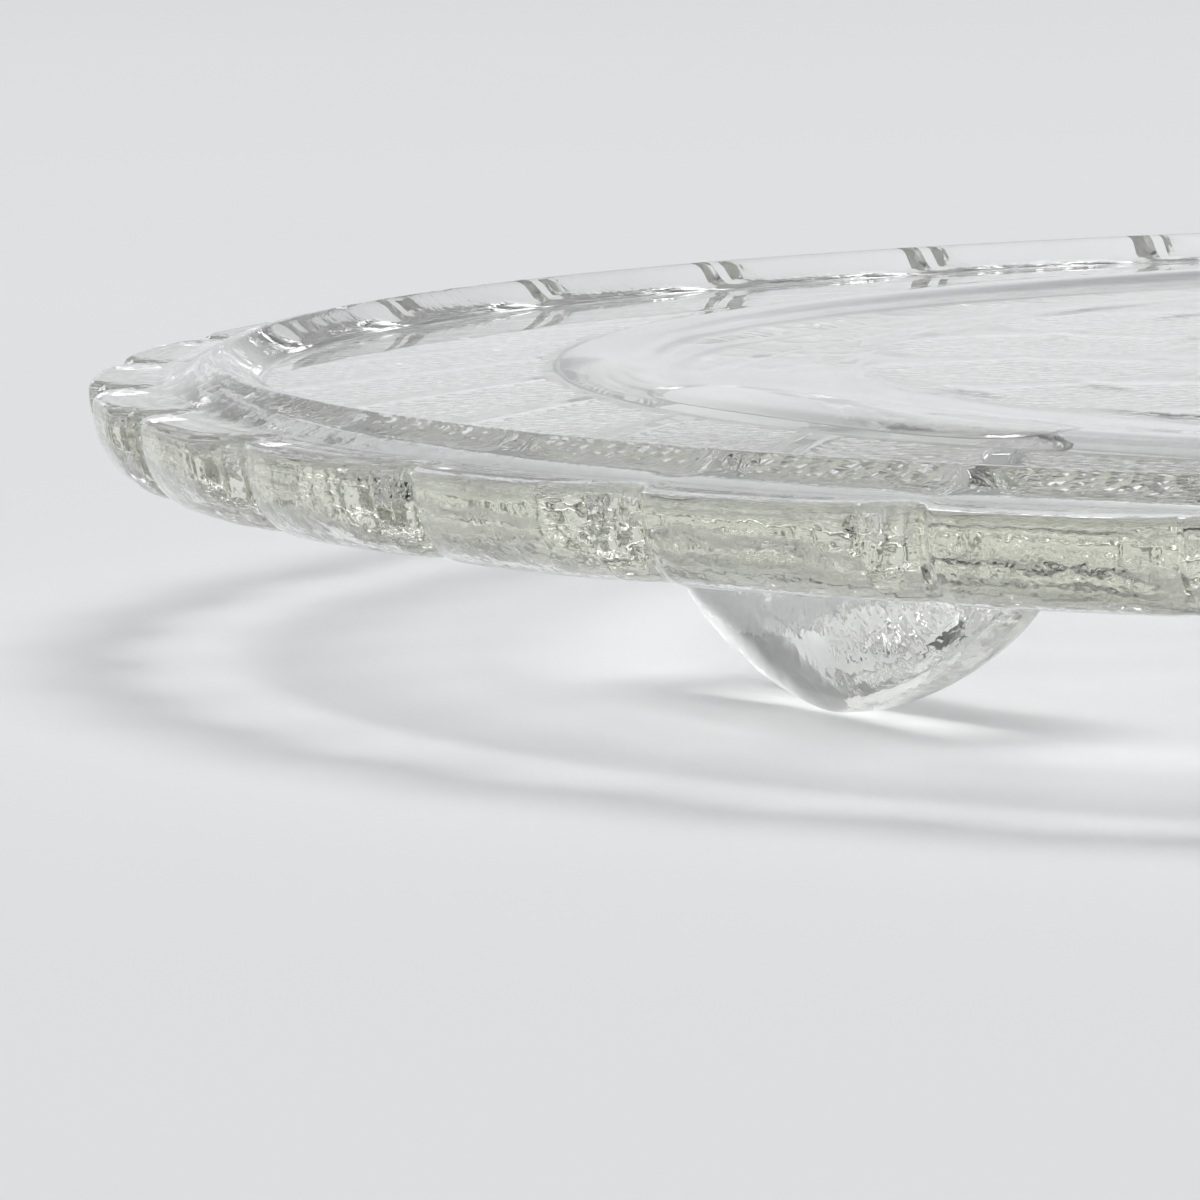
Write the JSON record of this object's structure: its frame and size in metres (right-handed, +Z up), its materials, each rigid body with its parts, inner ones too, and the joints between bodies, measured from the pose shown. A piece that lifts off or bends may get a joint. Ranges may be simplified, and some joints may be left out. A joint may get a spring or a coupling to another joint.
{
  "type": "footed serving platter",
  "caption": "Round clear pressed-glass serving platter with a scalloped edge, raised bead, swirl panels and a shallow well, standing on rounded tab feet.",
  "frame": {"origin": "on the table, under the middle of the plate", "axes": "+Z up, -Y towards the front foot, +X to the right"},
  "size_m": [0.3198, 0.3198, 0.0262],
  "materials": {
    "plate_glass": "clear, fire-polished, stippled under the swirl panels",
    "foot_glass": "clear, fire-polished"
  },
  "bodies": {
    "root": {"plate": "plate_glass", "foot_front": "foot_glass", "foot_right": "foot_glass", "foot_left": "foot_glass"}
  },
  "joints": []
}
